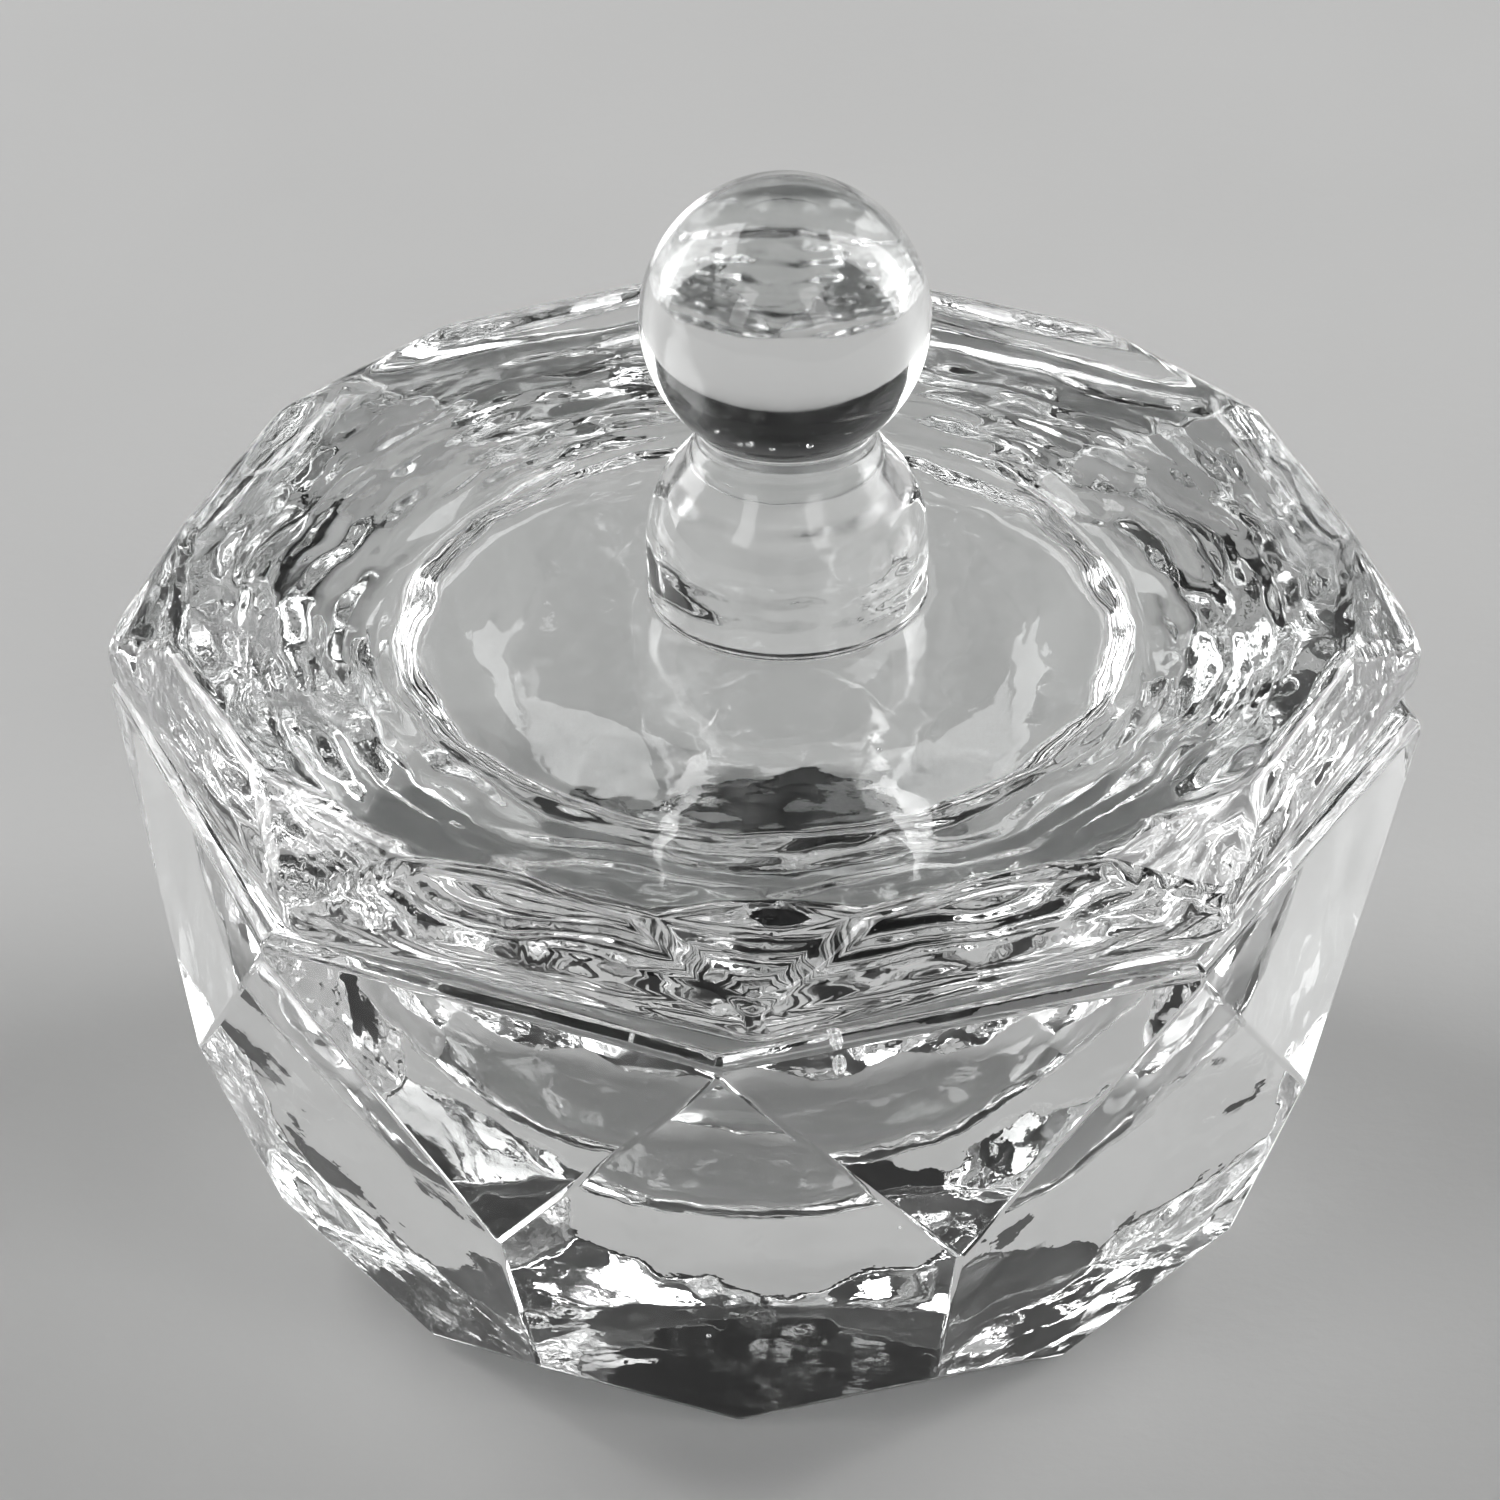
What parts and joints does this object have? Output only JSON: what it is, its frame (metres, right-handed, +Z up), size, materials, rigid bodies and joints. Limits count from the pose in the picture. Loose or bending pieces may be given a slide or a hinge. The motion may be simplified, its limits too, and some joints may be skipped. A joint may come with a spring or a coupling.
{
  "type": "dappen dish",
  "caption": "Small covered glass dish with a faceted eight-sided bowl, a round hollow, a thick bevelled lid that lifts off and a ball knob.",
  "frame": {"origin": "middle of the flat foot, on the surface the dish stands on", "axes": "+Z up through the knob; the bowl's corners lie on +X, -X, +Y and -Y; the pictured front is -Y"},
  "size_m": [0.055, 0.055, 0.049],
  "materials": {
    "clear_glass": "clear fire-polished pressed glass"
  },
  "bodies": {
    "bowl": {"bowl": "clear_glass"},
    "lid": {"lid": "clear_glass", "knob": "clear_glass"}
  },
  "joints": [
    {"name": "lid_lift", "type": "slide", "parent": "bowl", "child": "lid", "axis": [0, 0, 1], "range_m": [0, 0.04]}
  ]
}
